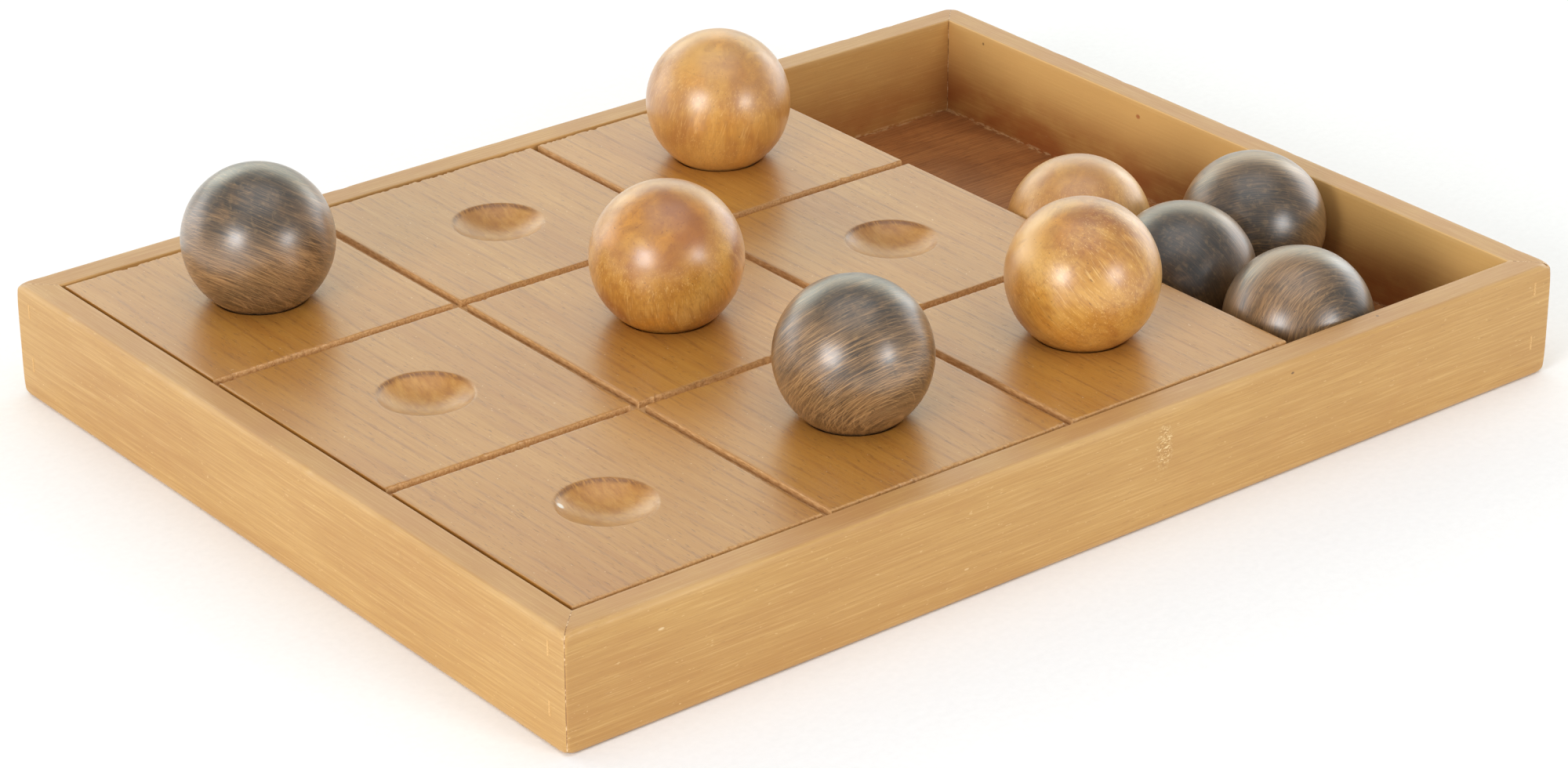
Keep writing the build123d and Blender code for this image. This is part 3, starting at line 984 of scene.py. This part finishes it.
def board_heights(x, y, places, grooves, middle, top):
    """The top surface's heights, and masks for sawn grooves, painted shade at their bottoms, the dimples
    and painted shade on the dimples' far rims.
    """
    from_top = np.zeros_like(x)
    dimple = np.zeros_like(x)
    far_rim_shade = np.zeros_like(x)
    for column in (-1, 0, 1):
        for row in (-1, 0, 1):
            centre = (middle[0] + column * DIMPLE_PITCH, middle[1] + row * DIMPLE_PITCH)
            distance = np.hypot(x - centre[0], y - centre[1])
            near = distance < DIMPLE_RADIUS - 2
            from_top += np.where(near, dimple_height(distance), 0)
            dimple = np.maximum(dimple, 1 - smooth(distance, DIMPLE_RIM - 1.8, DIMPLE_RIM + 0.2))
            # painted shade along the back part of each dimple's rim
            far_side = smooth(0.3 * (x - centre[0]) + 0.95 * (y - centre[1]), 1, 11)
            at_rim = np.exp(-(((distance - DIMPLE_RIM + 0.6) / 0.85) ** 2))
            far_rim_shade = np.maximum(far_rim_shade, at_rim * far_side)
    nearest_x = np.min([np.abs(places[0] - g) for g in grooves[0]], axis=0)[:, None] + 0 * x
    nearest_y = np.min([np.abs(places[1] - g) for g in grooves[1]], axis=0)[None, :] + 0 * y
    depth = np.maximum(groove_depth(nearest_x), groove_depth(nearest_y))
    from_top -= depth
    in_groove = smooth(depth, 0.05, 0.32)
    # mask for painted shade at the groove's bottom
    groove_bottom_shade = smooth(depth, 2.3, 2.6)
    surface = np.stack([x, y], axis=-1)
    from_top -= BOARD_WAVE * (1 + waves(surface, BOARD_WAVE_LENGTH, 41)) * (1 - in_groove)
    return top + from_top, {"cut": in_groove, "groove_bottom_shade": groove_bottom_shade, "dimple": dimple, "far_rim_shade": far_rim_shade}


def ragged_edges(x, y, z, places, grooves):
    """Tears the groove edges that run across the grain, which is every line along X."""
    h, e = GROOVE_HALF_WIDTH, GROOVE_EASE
    # distance of a grid line from the groove's middle, share of the bite, drop
    tears = ((h, 1.0, 0.28), (h + e * 0.3, 1.0, 0.20), (h - 0.08, 0.35, 0.0))
    for number, groove in enumerate(grooves[1]):
        for side in (-1, 1):
            bite = chips(x.shape[0], 60 + 2 * number + side, 0.72, 0.85)
            for offset, weight, drop in tears:
                j = int(np.argmin(np.abs(places[1] - (groove + side * offset))))
                y[:, j] += side * bite * weight
                z[:, j] -= np.minimum(bite, 1.0) * drop
            rim = int(np.argmin(np.abs(places[1] - (groove + side * (h + e)))))
            y[:, rim] += side * bite * 1.05
            z[:, rim] -= bite * 0.04


def ragged_ends(grid, border):
    """Splinters the board's front and back edges, where the saw left the end grain."""
    # column counted in from the top's edge, share of the bite, drop
    tears = ((1, 0.5, 0.0), (0, 1.0, 0.10), (-1, 1.0, 0.25), (-2, 0.9, 0.1))
    for inward, seed in ((1, 71), (-1, 73)):
        bite = chips(grid.shape[0], seed, 0.85, 1.3) + 0.25 * chips(grid.shape[0], seed + 1, 1.0, 1.0)
        for place, weight, drop in tears:
            column = border + place
            if inward < 0:
                column = grid.shape[1] - 1 - column
            grid[:, column, 1] += inward * bite * weight
            grid[:, column, 2] -= np.minimum(bite, 1.0) * drop


def add_border(grid, low, high, top):
    """Rows round the top's grid that turn over the eased edge and down the board's sides."""
    steps = [(GROOVE_EASE * 0.3, 0.09), (0.0, GROOVE_EASE), (0.0, 2.6), (0.0, 5.0), (0.0, 8.5)]
    thickness = high[2] - low[2]
    for inset, drop in steps + [(0.0, thickness)]:
        grid = np.pad(grid, ((1, 1), (1, 1), (0, 0)), mode="edge")
        grid[0, :, 0] = low[0] + inset
        grid[-1, :, 0] = high[0] - inset
        grid[:, 0, 1] = low[1] + inset
        grid[:, -1, 1] = high[1] - inset
        edge = np.zeros(grid.shape[:2], bool)
        edge[0, :] = edge[-1, :] = True
        edge[:, 0] = edge[:, -1] = True
        grid[..., 2] = np.where(edge, np.minimum(grid[..., 2], top - drop), grid[..., 2])
    return grid


def make_board():
    """The loose grooved board, with dimple rims, sawn grooves and torn cross-grain edges."""
    low, high = box_mm("game_board")
    x, y, places, grooves, middle = board_grid(low, high)
    z, masks = board_heights(x, y, places, grooves, middle, high[2])
    ragged_edges(x, y, z, places, grooves)
    grid = add_border(np.stack([x, y, z], axis=-1), low, high, high[2])
    border = (grid.shape[0] - x.shape[0]) // 2
    ragged_ends(grid, border)
    pad = ((border, border), (border, border))
    rows, columns = grid.shape[:2]
    faces = grid_faces(rows, columns)
    number = np.arange(rows * columns).reshape(rows, columns)
    loop = np.concatenate([number[:, 0], number[-1, 1:], number[:-1, -1][::-1], number[0, 1:-1][::-1]])
    faces = [face[::-1] for face in faces]
    faces.append(loop.tolist()[::-1])
    piece = mesh_piece("game_board_cut", grid.reshape(-1, 3), faces, crease_degrees=50)
    masks["cut"][:, [0, -1]] = np.maximum(masks["cut"][:, [0, -1]], 0.6)
    for mask, values in masks.items():
        point_value(piece, mask, np.pad(values, pad, mode="edge"))
    piece.data.materials.append(board_wood("board_face"))
    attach(piece, "tray")
    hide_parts("game_board")
    return piece


# ---------------------------------------------------------------- balls


def cube_sphere(steps):
    """Unit vectors and quads of a sphere made from a cube's six faces, with shared edges."""
    line = np.tan(np.linspace(-1, 1, steps + 1) * math.pi / 4)
    a, b = np.meshgrid(line, line, indexing="ij")
    one = np.ones_like(a)
    sides = [(one, a, b), (-one, b, a), (b, one, a), (a, -one, b), (a, b, one), (b, a, -one)]
    points = np.concatenate([np.stack(side, axis=-1).reshape(-1, 3) for side in sides])
    points /= np.linalg.norm(points, axis=1, keepdims=True)
    count = (steps + 1) ** 2
    faces = np.concatenate([grid_faces(steps + 1, steps + 1, offset=count * k) for k in range(6)])
    _, first, index = np.unique(np.round(points, 6), axis=0, return_index=True, return_inverse=True)
    return points[first], index.reshape(-1)[faces].tolist()


def ball_shape(directions, radius, seed):
    """Turned ball: a little uneven, with faint ripples and shallow dents, never above its true radius."""
    rng = np.random.default_rng(seed)
    inward = 0.05 * (1 + waves(directions, 2.4, seed)) + 0.03 * (1 + waves(directions, 0.5, seed + 1))
    for _ in range(BALL_DENT_COUNT):
        dent = rng.normal(size=3)
        dent /= np.linalg.norm(dent)
        away = np.degrees(np.arccos(np.clip(directions @ dent, -1, 1)))
        inward += BALL_DENT * rng.uniform(0.4, 1.0) * np.exp(-((away / rng.uniform(2, 5)) ** 2))
    return directions * (radius - np.maximum(inward, 0))[:, None]


BALLS = {
    # name: (seed, turning axis, direction of its painted top shade, paleness, or how faint a dark ball's
    # strokes are)
    "dark_ball_1": (1, (0.600, 0.079, 0.789), (-0.29, -0.28, 0.92), 0.20),
    "dark_ball_2": (2, (0.07, 0.73, 0.68), (0.07, -0.16, 0.99), 0.0),
    "dark_ball_3": (3, (0.52, 0.65, 0.56), (-0.64, -0.64, 0.43), 0.30),
    "dark_ball_4": (4, (0.88, 0.21, 0.19), (-0.60, -0.43, 0.68), 0.70),
    "dark_ball_5": (5, (-0.09, -0.99, 0.01), (0.55, -0.70, 0.46), 0.30),
    "light_ball_1": (6, (0.01, -0.31, 0.95), (0.07, -0.63, 0.77), 0.20),
    "light_ball_2": (7, (-0.41, -0.39, 0.83), (-0.41, -0.39, 0.83), 0.0),
    "light_ball_3": (8, (-0.466, 0.474, 0.739), (-0.16, -0.44, 0.88), 0.0),
    "light_ball_4": (9, (0.01, 0.17, 0.98), (-0.36, -0.29, 0.89), 0.20),
}


def make_ball(name):
    """One ball of the set, on its CAD centre, with its own turned axis and markings."""
    seed, pole, shade_towards, pale = BALLS[name]
    low, high = box_mm(name)
    centre = (low + high) / 2
    radius = float((high - low).max()) / 2
    directions, faces = cube_sphere(BALL_STEPS)
    piece = mesh_piece(name + "_turned", ball_shape(directions, radius, seed), faces)
    piece.location = Vector(centre) * MM
    finish = dark_ball_wood if name.startswith("dark") else light_ball_wood
    piece.data.materials.append(finish(name + "_wood", seed, pole, shade_towards, pale))
    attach(piece, name)
    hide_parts(name)
    return piece


# ---------------------------------------------------------------- CAD pieces that stay


def refinish_cad():
    """Better materials on the CAD pieces whose shape is already right."""
    finishes = {
        "base_panel": base_wood("base_panel_wood"),
        "trough_divider": divider_wood("divider_wood"),
        "corner_staples": staple_steel("staple_wire"),
        "base_staples": staple_steel("base_staple_wire"),
        "staple_filler": filler_paste("filler_paste"),
    }
    pine = strip_wood("bearer_pine")
    for strip in ("left_cleat", "front_cleat", "back_cleat", "centre_bearer"):
        finishes[strip] = pine
    for node, material in finishes.items():
        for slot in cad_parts[node].material_slots:
            slot.material = material


# ---------------------------------------------------------------- stage


def view_axes():
    """The photograph's right, up and backward directions."""
    azimuth, elevation = math.radians(CAMERA_AZIMUTH), math.radians(CAMERA_ELEVATION)
    back = Vector(
        (
            math.sin(azimuth) * math.cos(elevation),
            -math.cos(azimuth) * math.cos(elevation),
            math.sin(elevation),
        )
    )
    right = Vector((0, 0, 1)).cross(back).normalized()
    return right, back.cross(right), back


def add_camera():
    data = bpy.data.cameras.new("camera")
    data.lens = LENS
    data.sensor_width = SENSOR
    camera = bpy.data.objects.new("camera", data)
    bpy.context.scene.collection.objects.link(camera)
    right, up, back = view_axes()
    turn = Matrix((right, up, back)).transposed().to_4x4()
    roll = Matrix.Rotation(math.radians(CAMERA_ROLL), 4, "Z")
    place = Matrix.Translation(Vector(CAMERA_TARGET) + back * CAMERA_DISTANCE)
    camera.matrix_world = place @ turn @ roll
    bpy.context.scene.camera = camera


def add_light(name, azimuth, elevation, distance, size, power, colour):
    """A softbox that faces the board, with its azimuth to the right of the camera, in degrees."""
    heading = math.radians(CAMERA_AZIMUTH + azimuth)
    rise = math.radians(elevation)
    direction = Vector(
        (math.sin(heading) * math.cos(rise), -math.cos(heading) * math.cos(rise), math.sin(rise))
    )
    data = bpy.data.lights.new(name, "AREA")
    data.shape = "RECTANGLE"
    data.size, data.size_y = size
    data.energy = power
    data.color = colour
    light = bpy.data.objects.new(name, data)
    light.location = direction * distance
    light.rotation_mode = "QUATERNION"
    light.rotation_quaternion = direction.to_track_quat("Z", "Y")
    bpy.context.scene.collection.objects.link(light)


LIGHTS = (
    # name, azimuth from the camera, elevation, distance, size, power, colour
    ("key_left", -33, 20, 2.2, (0.80, 0.80), 24, (1, 1, 1)),
    ("key_right", 48, 17, 2.2, (0.60, 0.60), 13, (1, 1, 1)),
    ("rim_left", -110, 12, 2.2, (1.4, 1.1), 9, (1, 1, 1)),
    ("rim_right", 132, 12, 2.2, (1.6, 1.2), 11, (1, 1, 1)),
    ("back_left", -138, 24, 2.6, (1.7, 1.4), 7, (0.95, 1.0, 0.90)),
    ("backdrop", 180, 25, 2.6, (4.2, 1.45), 26, (0.97, 1.0, 0.82)),
    ("overhead", 0, 84, 2.6, (2.4, 2.4), 19, (1, 1, 1)),
)


def add_world():
    world = bpy.data.worlds.new("studio")
    world.use_nodes = True
    background = world.node_tree.nodes["Background"]
    background.inputs["Color"].default_value = WORLD_COLOUR
    background.inputs["Strength"].default_value = WORLD_STRENGTH
    bpy.context.scene.world = world


def add_floor():
    """A wide pale studio floor with a faint paper tooth."""
    line = np.linspace(-FLOOR_REACH, FLOOR_REACH, FLOOR_STEPS + 1) / MM
    x, y = np.meshgrid(line, line, indexing="ij")
    points = np.stack([x, y, np.full_like(x, -FLOOR_GAP)], axis=-1).reshape(-1, 3)
    faces = [face[::-1] for face in grid_faces(FLOOR_STEPS + 1, FLOOR_STEPS + 1)]
    floor = mesh_piece("floor", points, faces)
    paint = Paint("floor_paper", Specular_IOR_Level=0.2)
    tooth = paint.noise(paint.space(3, 3, 3), 3, 0.6)
    colour = paint.ramp(tooth, [(0.3, (250, 250, 250)), (0.7, (254, 254, 254))])
    roughness = paint.span(tooth, 0.3, 0.7, 0.85, 0.95)
    floor.data.materials.append(paint.finish(colour, roughness, paint.bump(tooth, 0.02)))


# ---------------------------------------------------------------- scene

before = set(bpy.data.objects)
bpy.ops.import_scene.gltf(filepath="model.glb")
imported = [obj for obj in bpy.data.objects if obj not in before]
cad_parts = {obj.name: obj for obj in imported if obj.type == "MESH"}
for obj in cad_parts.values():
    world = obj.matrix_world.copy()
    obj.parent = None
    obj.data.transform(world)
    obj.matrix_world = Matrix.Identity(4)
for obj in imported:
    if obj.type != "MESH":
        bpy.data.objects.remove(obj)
cad_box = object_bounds()

add_camera()
add_world()
for light in LIGHTS:
    add_light(*light)
add_floor()
bpy.context.scene.view_settings.view_transform = "Standard"

for rail_name in RAILS:
    make_rail(rail_name)
make_board()
for ball_name in BALLS:
    make_ball(ball_name)
refinish_cad()
